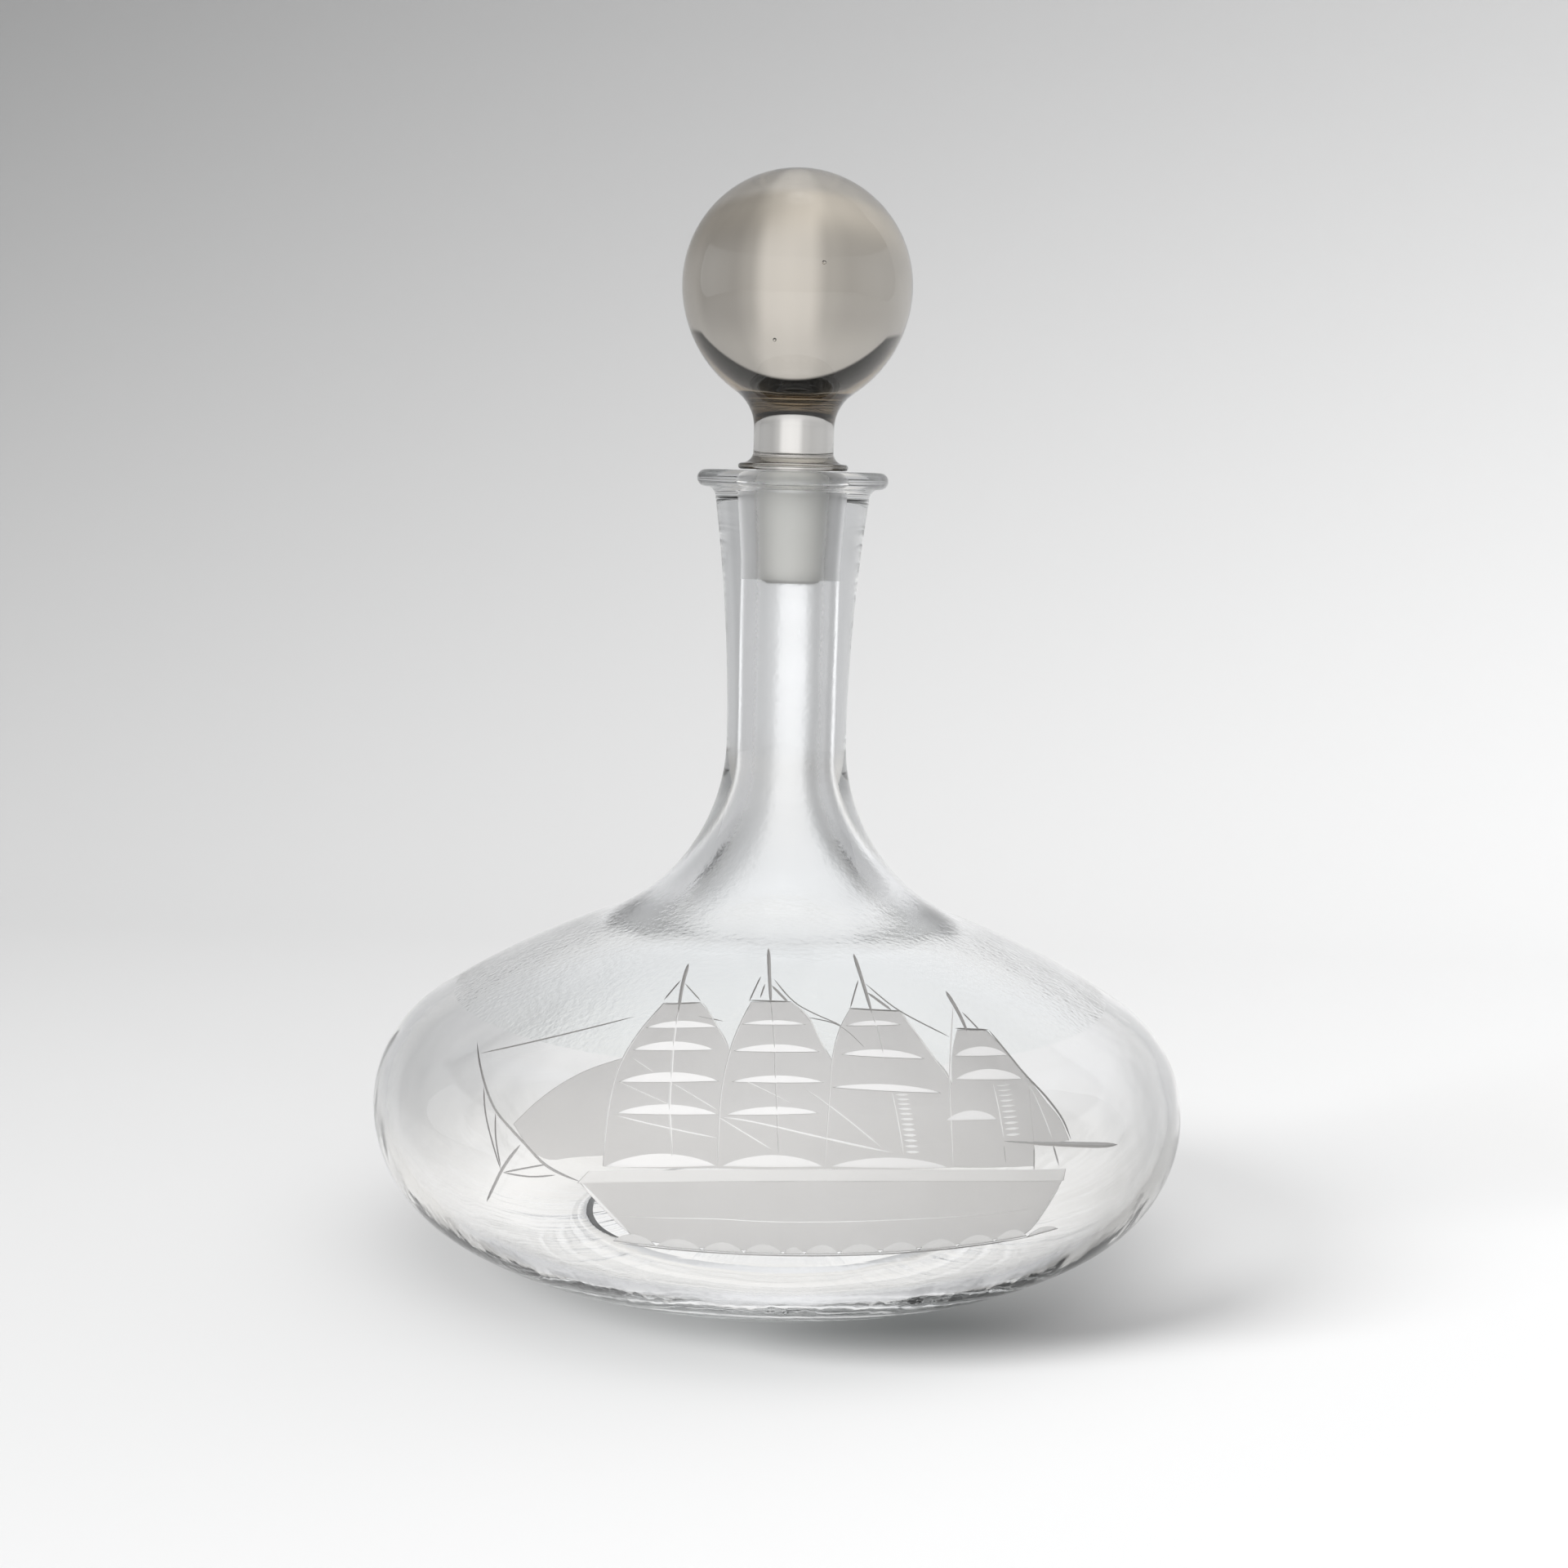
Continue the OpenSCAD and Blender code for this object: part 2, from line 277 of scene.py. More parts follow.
class Sheet:
    """Adds nodes to a tree and wires them, so that a rule reads as a few lines."""

    def __init__(self, tree):
        self.tree = tree

    def add(self, kind, inputs=None, **settings):
        """A new node. An input is a socket to link or a plain value to set."""
        node = self.tree.nodes.new(kind)
        for name, value in settings.items():
            setattr(node, name, value)
        for key, value in (inputs or {}).items():
            if isinstance(value, bpy.types.NodeSocket):
                self.tree.links.new(value, node.inputs[key])
            else:
                node.inputs[key].default_value = value
        return node

    def shape(self, kind, geometry, inputs=None, **settings):
        """The geometry after one more node of a Geometry Nodes chain."""
        return self.add("GeometryNode" + kind, {0: geometry, **(inputs or {})}, **settings).outputs[0]

    def math(self, operation, a, b=0.0, c=0.0):
        """The result of a Math node, in geometry and shader trees alike."""
        return self.add("ShaderNodeMath", {0: a, 1: b, 2: c}, operation=operation).outputs[0]

    def times(self, first, *others):
        """The product of two or more numbers."""
        for other in others:
            first = self.math("MULTIPLY", first, other)
        return first

    def vector(self, x=0.0, y=0.0, z=0.0):
        """A vector put together from three numbers."""
        return self.add("ShaderNodeCombineXYZ", {0: x, 1: y, 2: z}).outputs[0]

    def apart(self, vector):
        """A vector's three numbers."""
        return self.add("ShaderNodeSeparateXYZ", {0: vector}).outputs

    def from_axis(self, x, y):
        """How far from the axis a place is."""
        return self.math("SQRT", self.math("ADD", self.times(x, x), self.times(y, y)))

    def spread(self, value, low, high, start=0.0, end=1.0, smooth=False):
        """Carries the run from low to high over to start to end, and holds it past both."""
        return self.add("ShaderNodeMapRange", {
            "Value": value, "From Min": low, "From Max": high, "To Min": start, "To Max": end,
        }, interpolation_type="SMOOTHSTEP" if smooth else "LINEAR").outputs[0]

    def mix(self, share, first, second):
        """A number that goes from first to second as share grows."""
        return self.add("ShaderNodeMix", {0: share, 2: first, 3: second}).outputs[0]

    def colour(self, share, first, second, blend="MIX"):
        """A colour that goes from first to second as share grows, or one blended onto the other."""
        return self.add("ShaderNodeMix", {
            0: share, 6: first, 7: second,
        }, data_type="RGBA", blend_type=blend).outputs[2]

    def place(self):
        """The place on the piece, for patterns."""
        return self.add("ShaderNodeTexCoord").outputs["Object"]

    def noise(self, place, scale, detail, roughness=0.5):
        """An even noise over a place."""
        return self.add("ShaderNodeTexNoise", {
            "Vector": place, "Scale": scale, "Detail": detail, "Roughness": roughness,
        }).outputs[0]

    def bump(self, height, distance, strength, under=None):
        """A surface's normal with a bump, over another bump where one is given."""
        inputs = {"Strength": strength, "Distance": distance, "Height": height}
        if under is not None:
            inputs["Normal"] = under
        return self.add("ShaderNodeBump", inputs).outputs[0]


def geometry_tree(name, inputs):
    """A Geometry Nodes tree with named inputs: its sheet, its input sockets and its output's sockets."""
    tree = bpy.data.node_groups.new(name, "GeometryNodeTree")
    tree.interface.new_socket("Geometry", in_out="OUTPUT", socket_type="NodeSocketGeometry")
    tree.interface.new_socket("Geometry", in_out="INPUT", socket_type="NodeSocketGeometry")
    for label, kind in inputs.items():
        tree.interface.new_socket(label, in_out="INPUT", socket_type=kind)
    given = tree.nodes.new("NodeGroupInput").outputs
    result = tree.nodes.new("NodeGroupOutput").inputs
    return Sheet(tree), given, result


def end_tree(sheet, result, geometry, finish, selection=True):
    """Ends a tree: its instances are made real, and what is selected takes its finish."""
    whole = sheet.shape("RealizeInstances", geometry)
    finished = sheet.shape("SetMaterial", whole, {"Selection": selection, "Material": finish})
    sheet.tree.links.new(finished, result[0])
    return sheet.tree


def take_mesh(obj, mesh):
    """Gives obj a finished mesh in place of its own, without empty material slots."""
    old = obj.data
    obj.data = mesh
    bpy.data.meshes.remove(old)
    mesh.name = obj.name
    for i in reversed(range(len(mesh.materials))):
        if mesh.materials[i] is None:
            mesh.materials.pop(index=i)


def run_tree(obj, tree, values):
    """Sets a tree's named inputs on obj by their identifiers, and makes its result obj's plain mesh."""
    modifier = obj.modifiers.new(tree.name, "NODES")
    modifier.node_group = tree
    for item in tree.interface.items_tree:
        if item.in_out == "INPUT" and item.name in values:
            modifier[item.identifier] = values[item.name]
    depsgraph = bpy.context.evaluated_depsgraph_get()
    mesh = bpy.data.meshes.new_from_object(obj.evaluated_get(depsgraph), depsgraph=depsgraph)
    obj.modifiers.remove(modifier)
    take_mesh(obj, mesh)
    return obj


def turning_tree():
    """Turns an outline about the axis, and gives the bore and the ground faces their own finish."""
    sheet, given, result = geometry_tree("turned_glass", {
        "Segments": "NodeSocketInt",
        "Polished": "NodeSocketMaterial",
        "Ground": "NodeSocketMaterial",
        "Ground Low": "NodeSocketFloat",
        "Ground High": "NodeSocketFloat",
        "Ground Reach": "NodeSocketFloat",
        "Bore": "NodeSocketMaterial",
        "Bore Row": "NodeSocketInt",
        "Bore Low": "NodeSocketFloat",
    })
    rows = sheet.add("GeometryNodeAttributeDomainSize", {"Geometry": given["Geometry"]}).outputs[0]
    columns = sheet.math("ADD", given["Segments"], 1)
    grid = sheet.add("GeometryNodeMeshGrid", {"Vertices X": rows, "Vertices Y": columns})
    index = sheet.add("GeometryNodeInputIndex").outputs[0]
    row = sheet.math("FLOOR", sheet.math("DIVIDE", sheet.math("ADD", index, 0.5), columns))
    column = sheet.math("SUBTRACT", index, sheet.times(row, columns))
    place = sheet.add("GeometryNodeInputPosition").outputs[0]
    on_outline = sheet.add("GeometryNodeSampleIndex", {
        "Geometry": given["Geometry"], "Value": place, "Index": row,
    }, data_type="FLOAT_VECTOR", domain="POINT").outputs[0]
    radius, _, height = sheet.apart(on_outline)
    angle = sheet.times(sheet.math("DIVIDE", column, given["Segments"]), -TURN)
    across = sheet.times(radius, sheet.math("COSINE", angle))
    along = sheet.times(radius, sheet.math("SINE", angle))
    numbered = sheet.shape(
        "StoreNamedAttribute", grid.outputs["Mesh"], {"Name": "row", "Value": row},
        data_type="FLOAT", domain="POINT",
    )
    turned = sheet.shape("SetPosition", numbered, {"Position": sheet.vector(across, along, height)})
    closed = sheet.shape("MergeByDistance", turned, {"Distance": 1e-6})
    polished = sheet.shape("SetMaterial", closed, {"Material": given["Polished"]})
    x, y, z = sheet.apart(place)
    on_row = sheet.add("GeometryNodeInputNamedAttribute", {"Name": "row"}, data_type="FLOAT").outputs[0]
    inside = sheet.math("GREATER_THAN", on_row, given["Bore Row"])
    high = sheet.math("GREATER_THAN", z, given["Bore Low"])
    bored = sheet.shape("SetMaterial", polished, {
        "Selection": sheet.times(inside, high), "Material": given["Bore"],
    })
    bare = sheet.shape("RemoveAttribute", bored, {"Name": "row"})
    above = sheet.math("GREATER_THAN", z, given["Ground Low"])
    below = sheet.math("LESS_THAN", z, given["Ground High"])
    within = sheet.math("LESS_THAN", sheet.from_axis(x, y), given["Ground Reach"])
    return end_tree(sheet, result, bare, given["Ground"], sheet.times(above, below, within))


# ---------------------------------------------------------------- shading by the outline

def read_all(items, name, kind=float, width=1):
    """One property of all of a mesh's items, as an array with width numbers to a row."""
    values = np.empty(len(items) * width, dtype=kind)
    items.foreach_get(name, values)
    return values.reshape(-1, width) if width > 1 else values


class Normals:
    """Surface normals read from an outline, so that turned faces shade as the true curve does."""

    # A bend sharper than this stays an edge, and a face that leans further than this is a cut's wall.
    SHARP = math.cos(math.radians(20))
    ACROSS = 0.7

    def __init__(self, outline):
        points = np.array(outline) * MM
        along = np.diff(points, axis=0)
        length = np.linalg.norm(along, axis=1, keepdims=True)
        along = along / length
        # The outline runs with the glass on its left, so outward is to the right.
        out = np.stack([along[:, 1], -along[:, 0]], axis=1)
        start, end = out.copy(), out.copy()
        for i in range(len(out) - 1):
            if out[i] @ out[i + 1] > self.SHARP:
                share = length[i + 1] / (length[i] + length[i + 1])
                blend = out[i] * share + out[i + 1] * (1 - share)
                end[i] = start[i + 1] = blend / np.linalg.norm(blend)
        if abs(points[0][0]) < 1e-9:
            start[0] = (0, math.copysign(1, out[0][1]))
        if abs(points[-1][0]) < 1e-9:
            end[-1] = (0, math.copysign(1, out[-1][1]))
        self.points, self.along, self.length = points, along, length[:, 0]
        self.start, self.end = start, end

    def stretches(self, places):
        """The nearest stretch of the outline to each (radius, height) place."""
        best = np.full(len(places), np.inf)
        found = np.zeros(len(places), dtype=int)
        for i, (origin, way, length) in enumerate(zip(self.points, self.along, self.length)):
            offset = places - origin
            share = np.clip(offset @ way, 0, length)
            distance = np.linalg.norm(offset - share[:, None] * way, axis=1)
            closer = distance < best
            best[closer], found[closer] = distance[closer], i
        return found

    def shade(self, obj, own_finish=()):
        """Gives every face the outline's normals, apart from those with one of these material slots."""
        mesh = obj.data
        vertices = read_all(mesh.vertices, "co", width=3)
        vertex_of = read_all(mesh.loops, "vertex_index", int)
        total = read_all(mesh.polygons, "loop_total", int)
        slot = read_all(mesh.polygons, "material_index", int)
        centre = read_all(mesh.polygons, "center", width=3)
        flat = read_all(mesh.polygons, "normal", width=3)
        faces = len(mesh.polygons)
        face_of = np.repeat(np.arange(faces), total)
        middle = np.stack([np.hypot(centre[:, 0], centre[:, 1]), centre[:, 2]], axis=1)
        stretch = self.stretches(middle)[face_of]
        place = vertices[vertex_of]
        radius = np.hypot(place[:, 0], place[:, 1])
        offset = np.stack([radius, place[:, 2]], axis=1) - self.points[stretch]
        share = np.einsum("ij,ij->i", offset, self.along[stretch]) / self.length[stretch]
        share = np.clip(share, 0, 1)[:, None]
        out = self.start[stretch] * (1 - share) + self.end[stretch] * share
        safe = np.maximum(radius, 1e-9)
        toward = np.where(radius[:, None] > 1e-7, place[:, :2] / safe[:, None], 0)
        normal = np.concatenate([toward * out[:, :1], out[:, 1:]], axis=1)
        normal /= np.maximum(np.linalg.norm(normal, axis=1, keepdims=True), 1e-9)
        own = np.isin(slot, own_finish)
        # A cut's wall stands across the surface, so it keeps its flat normal too.
        facing = np.einsum("ij,ij->i", normal, flat[face_of])
        keep_flat = own[face_of] | (facing < self.ACROSS)
        normal[keep_flat] = flat[face_of][keep_flat]
        mesh.polygons.foreach_set("use_smooth", np.ones(faces, dtype=bool))
        mesh.normals_split_custom_set(normal.tolist())
        mesh.update()


# ---------------------------------------------------------------- finishes

GLASS_IOR = 1.51
LAMP_SHARE, GROUND_LAMP_SHARE = 0.88, 0.95


def new_material(name):
    """A material with an empty tree, its sheet and its output node."""
    material = bpy.data.materials.new(name)
    material.use_nodes = True
    material.node_tree.nodes.clear()
    sheet = Sheet(material.node_tree)
    return material, sheet, sheet.add("ShaderNodeOutputMaterial")


def glass_surface(sheet, output, lamp_share, inputs):
    """A glass surface that lets a share of each lamp through, so its shadow is as light as a real one."""
    glass = sheet.add("ShaderNodeBsdfPrincipled", {"IOR": GLASS_IOR, **inputs})
    lamp = sheet.add("ShaderNodeLightPath").outputs["Is Shadow Ray"]
    open_way = sheet.add("ShaderNodeBsdfTransparent", {"Color": (lamp_share, lamp_share, lamp_share, 1)})
    surface = sheet.add("ShaderNodeMixShader", {0: lamp, 1: glass.outputs[0], 2: open_way.outputs[0]})
    sheet.tree.links.new(surface.outputs[0], output.inputs["Surface"])


def streaks(sheet, height, under):
    """Draw marks left by the mould: fine lines that run up from the base and fade out."""
    x, y, z = sheet.apart(sheet.place())
    radius = sheet.from_axis(x, y)
    way = sheet.vector(
        sheet.math("DIVIDE", x, radius), sheet.math("DIVIDE", y, radius), sheet.times(z, 9.0),
    )
    lines = sheet.noise(way, 9.0, 2.5)
    fade = sheet.spread(z, STREAK_TOP * MM, STREAK_TOP * MM / 2)
    return sheet.bump(sheet.times(lines, fade), height, 1.0, under)


def clear_glass(name, depth_tint, density, ripple_scale, ripple_height, streak_height=0.0):
    """Polished glass: it bends light, mirrors a little, and colours it slightly with depth."""
    material, sheet, output = new_material(name)
    # Blown glass is never quite even, so a slow ripple runs over it.
    face = sheet.bump(sheet.noise(sheet.place(), ripple_scale, 1.5, 0.45), ripple_height, 0.35)
    if streak_height:
        face = streaks(sheet, streak_height, face)
    glass_surface(sheet, output, LAMP_SHARE, {
        "Base Color": (1, 1, 1, 1), "Roughness": 0.0, "Transmission Weight": 1.0, "Normal": face,
    })
    depth = sheet.add("ShaderNodeVolumeAbsorption", {"Color": (*depth_tint, 1), "Density": density})
    sheet.tree.links.new(depth.outputs[0], output.inputs["Volume"])
    return material


def ground_glass(name, colour, roughness, clearness, grain, grain_height):
    """Glass with a ground skin: light comes through it blurred, and its grain scatters some back."""
    material, sheet, output = new_material(name)
    place = sheet.place()
    fine = sheet.noise(place, grain, 3.0)
    tone = sheet.spread(sheet.noise(place, grain / 40, 2.0), 0.3, 0.7, 0.96, 1.0)
    glass_surface(sheet, output, GROUND_LAMP_SHARE, {
        "Base Color": sheet.colour(tone, (0, 0, 0, 1), (*colour, 1)),
        "Roughness": sheet.spread(fine, 0.3, 0.7, roughness - 0.06, roughness + 0.06),
        "Transmission Weight": clearness,
        "Normal": sheet.bump(fine, grain_height, 0.5),
    })
    return material


def bore_glass():
    """The inside of the neck and shoulder: satin where the core left its skin, clearer further down."""
    material, sheet, output = new_material("bore_glass")
    place = sheet.place()
    skin = sheet.spread(sheet.apart(place)[2], SKIN_LOW * MM, SKIN_FULL * MM, 0.02, 0.24)
    patchy = sheet.spread(sheet.noise(place, 90.0, 3.0), 0.3, 0.7, 0.5, 1.15)
    glass_surface(sheet, output, LAMP_SHARE, {
        "Base Color": (1, 1, 1, 1),
        "Roughness": sheet.times(skin, patchy),
        "Transmission Weight": 1.0,
        "Normal": sheet.bump(sheet.noise(place, 700.0, 2.0), 0.0001, 0.5),
    })
    return material


CLEAR = clear_glass("clear_glass", (0.89, 0.92, 0.915), 3.5, 45, 0.0006, 0.0002)
STRAW = clear_glass("stopper_glass", (0.522, 0.438, 0.307), 17.0, 60, 0.0003)
BORE = bore_glass()
GROUND_PEG = ground_glass("ground_peg", (1.0, 0.99, 0.96), 0.5, 0.9, 2500, 0.00004)
FROST = ground_glass("frosted_sails", (0.72, 0.705, 0.69), 0.5, 0.8, 2200, 0.00003)
# The bright and soft cuts are lighter copies of the frosted glass: their whiter colour is painted
# highlight.
BRIGHT = ground_glass("bright_cuts", (0.92, 0.91, 0.90), 0.35, 0.5, 1500, 0.00002)
SOFT = ground_glass("soft_cuts", (0.82, 0.81, 0.795), 0.4, 0.6, 1500, 0.00002)
# The shaded cuts are a dark copy of the same ground glass: their dark grey is painted shade.
SHADED = ground_glass("shaded_cuts", (0.40, 0.39, 0.38), 0.4, 0.5, 1500, 0.00002)
GROUND_SEAT = ground_glass("ground_seat", (1.0, 1.0, 0.98), 0.4, 0.92, 2500, 0.00003)


# ---------------------------------------------------------------- the two pieces of glass

SEGMENTS = 240
turning = turning_tree()


def turn_decanter():
    """The decanter's body, turned but not yet cut, and the normals that shade it once it is."""
    outline = decanter_outline()
    body = run_tree(outline_object("decanter", outline), turning, {
        "Segments": SEGMENTS,
        "Polished": CLEAR,
        "Ground": GROUND_SEAT,
        "Ground Low": BORE_END_Z * MM,
        "Ground High": (LIP_Z - MOUTH_CHAMFER) * MM,
        "Ground Reach": (PEG_R + JOINT_GAP + GRIND_SPARE) * MM,
        "Bore": BORE,
        "Bore Row": len(without_doubles(outer_outline())),
        "Bore Low": SKIN_LOW * MM,
    })
    return body, Normals(outline)


def turn_stopper():
    """The stopper, turned and shaded."""
    outline = stopper_outline()
    stopper = run_tree(outline_object("stopper", outline), turning, {
        "Segments": SEGMENTS // 2,
        "Polished": STRAW,
        "Ground": GROUND_PEG,
        "Ground Low": 0.0,
        "Ground High": LIP_Z * MM,
        "Ground Reach": (PEG_R + GRIND_SPARE) * MM,
        "Bore": STRAW,
        "Bore Row": len(outline),
        "Bore Low": LIP_Z * MM,
    })
    Normals(outline).shade(stopper)
    add_seeds(stopper)
    return stopper


# ---------------------------------------------------------------- the engraver's cuts
#
# The ship is drawn on the bowl in millimetres: x across the front, s up the glass from its widest part.
# Every cut is a closed cutter that follows the glass, and the body is ground away where it bites.

# How far a cutter stands clear of the glass, how deep the frost is, and how far a V's edges start above.
LIFT, EDGE_ABOVE = 0.3, 0.02
FROST_DEPTH, THIN_FROST, NEIGHBOUR_STEP = 0.1, 0.07, 0.012
SOFT_EDGE = 0.03
CURVE_POINTS, COLUMN_RUN, CRESCENT_STEPS = 160, 1.6, 12


def bowl_line():
    """The outline that the drawing lies on, and how far up it the widest part is."""
    below = [point for point in bowl_below_the_belly() if point[0] > FOOT_R]
    line = without_doubles(below + bowl_above_the_belly())
    to_belly = sum(math.dist(a, b) for a, b in zip(below, below[1:]))
    return outline_object("bowl_line", line), to_belly * MM


def lay_on_glass(sheet, flat, depth, outline, belly):
    """Closes a flat sheet of drawing into a cutter, and lays it on the glass, depth deep inside it."""
    thick = sheet.shape("ExtrudeMesh", flat, {
        "Offset": (0, 0, 1), "Offset Scale": 1.0, "Individual": False,
    })
    floor = sheet.shape("FlipFaces", flat)
    both = sheet.add("GeometryNodeJoinGeometry")
    sheet.tree.links.new(thick, both.inputs[0])
    sheet.tree.links.new(floor, both.inputs[0])
    closed = sheet.shape("MergeByDistance", both.outputs[0], {"Distance": 0.001})
    x, s, h = sheet.apart(sheet.add("GeometryNodeInputPosition").outputs[0])
    length = sheet.math("MULTIPLY_ADD", s, MM, belly)
    rail = sheet.shape("MeshToCurve", outline)
    on_line = sheet.add("GeometryNodeSampleCurve", {"Curves": rail, "Length": length}, mode="LENGTH")
    radius, _, height = sheet.apart(on_line.outputs["Position"])
    way = sheet.apart(on_line.outputs["Tangent"])
    # h is 0 on the cutter's floor and 1 on its top, which stands clear of the glass.
    sunk = sheet.times(depth, sheet.math("SUBTRACT", 1.0, h))
    above = sheet.math("SUBTRACT", sheet.times(h, LIFT), sunk)
    out = sheet.times(above, MM)
    reach = sheet.math("MULTIPLY_ADD", way[2], out, radius)
    level = sheet.math("SUBTRACT", height, sheet.times(way[0], out))
    angle = sheet.math("ARCSINE", sheet.math("DIVIDE", sheet.times(x, MM), radius))
    across = sheet.times(reach, sheet.math("SINE", angle))
    toward = sheet.times(reach, -1.0, sheet.math("COSINE", angle))
    return sheet.shape("SetPosition", closed, {"Position": sheet.vector(across, toward, level)})


def drawn_curves(sheet, lines, smooth):
    """The drawn lines as curves, smoothed through their points where asked."""
    curves = sheet.shape("MeshToCurve", lines)
    eased = sheet.shape("CurveSplineType", curves, spline_type="CATMULL_ROM")
    choice = sheet.add("GeometryNodeSwitch", {
        "Switch": smooth, "False": curves, "True": eased,
    }, input_type="GEOMETRY")
    return sheet.shape("ResampleCurve", choice.outputs[0], {"Count": CURVE_POINTS})


def point_on(sheet, curves, share, index):
    """The sampled curve at a share of one spline's length."""
    return sheet.add("GeometryNodeSampleCurve", {
        "Curves": curves, "Factor": share, "Curve Index": index,
    }, mode="FACTOR").outputs


def flat_patch(sheet, given):
    """A grid with its shares along and across: the blank that every cut is shaped from."""
    columns = sheet.math("ADD", given["Columns"], 1)
    rows = sheet.math("ADD", given["Rows"], 1)
    grid = sheet.add("GeometryNodeMeshGrid", {"Vertices X": columns, "Vertices Y": rows})
    x, y, _ = sheet.apart(sheet.add("GeometryNodeInputPosition").outputs[0])
    return grid.outputs["Mesh"], sheet.math("ADD", x, 0.5), sheet.math("ADD", y, 0.5)


def finish_cut(sheet, given, result, blank, place, depth):
    """Shapes the blank, keeps its depth, lays it on the glass and gives it its finish."""
    kept = sheet.shape(
        "StoreNamedAttribute", blank, {"Name": "depth", "Value": depth}, data_type="FLOAT", domain="POINT",
    )
    shaped = sheet.shape("SetPosition", kept, {"Position": place})
    pointed = sheet.shape("MergeByDistance", shaped, {"Distance": 0.001})
    deep = sheet.add("GeometryNodeInputNamedAttribute", {"Name": "depth"}, data_type="FLOAT")
    outline = sheet.add("GeometryNodeObjectInfo", {"Object": given["Outline"]})
    laid = lay_on_glass(sheet, pointed, deep.outputs[0], outline.outputs["Geometry"], given["Belly"])
    bare = sheet.shape("RemoveAttribute", laid, {"Name": "depth"})
    return end_tree(sheet, result, bare, given["Finish"])


CUT_INPUTS = {
    "Columns": "NodeSocketInt",
    "Rows": "NodeSocketInt",
    "Smooth": "NodeSocketBool",
    "Outline": "NodeSocketObject",
    "Belly": "NodeSocketFloat",
    "Finish": "NodeSocketMaterial",
}


def field_tree():
    """A field between two drawn edges: the first edge one depth, the second another."""
    sheet, given, result = geometry_tree("field_cut", {
        **CUT_INPUTS, "Depth First": "NodeSocketFloat", "Depth Second": "NodeSocketFloat",
    })
    edges = drawn_curves(sheet, given["Geometry"], given["Smooth"])
    blank, along, across = flat_patch(sheet, given)
    first = point_on(sheet, edges, along, 0)["Position"]
    second = point_on(sheet, edges, along, 1)["Position"]
    place = sheet.add("ShaderNodeMix", {0: across, 4: first, 5: second}, data_type="VECTOR").outputs[1]
    depth = sheet.mix(across, given["Depth First"], given["Depth Second"])
    return finish_cut(sheet, given, result, blank, place, depth)


def stroke_tree():
    """A wheel's stroke along a drawn path: a shallow V that narrows to a point at both ends."""
    sheet, given, result = geometry_tree("stroke_cut", {
        **CUT_INPUTS, "Depth": "NodeSocketFloat", "Edge Depth": "NodeSocketFloat",
        "Width Start": "NodeSocketFloat", "Width End": "NodeSocketFloat",
    })
    path = drawn_curves(sheet, given["Geometry"], given["Smooth"])
    blank, along, across = flat_patch(sheet, given)
    on_path = point_on(sheet, path, along, 0)
    way = sheet.apart(on_path["Tangent"])
    left = sheet.vector(sheet.times(way[1], -1.0), way[0], 0.0)
    width = sheet.mix(along, given["Width Start"], given["Width End"])
    off_middle = sheet.math("ABSOLUTE", sheet.math("MULTIPLY_ADD", along, 2.0, -1.0))
    taper = sheet.math("SUBTRACT", 1.0, sheet.math("POWER", off_middle, 7.0))
    side = sheet.times(sheet.math("SUBTRACT", across, 0.5), sheet.times(width, taper))
    offset = sheet.add("ShaderNodeVectorMath", {0: left, "Scale": side}, operation="SCALE").outputs[0]
    place = sheet.add("ShaderNodeVectorMath", {
        0: on_path["Position"], 1: offset,
    }, operation="ADD").outputs[0]
    slope = sheet.math("ABSOLUTE", sheet.math("MULTIPLY_ADD", across, 2.0, -1.0))
    depth = sheet.mix(slope, given["Depth"], given["Edge Depth"])
    return finish_cut(sheet, given, result, blank, place, depth)


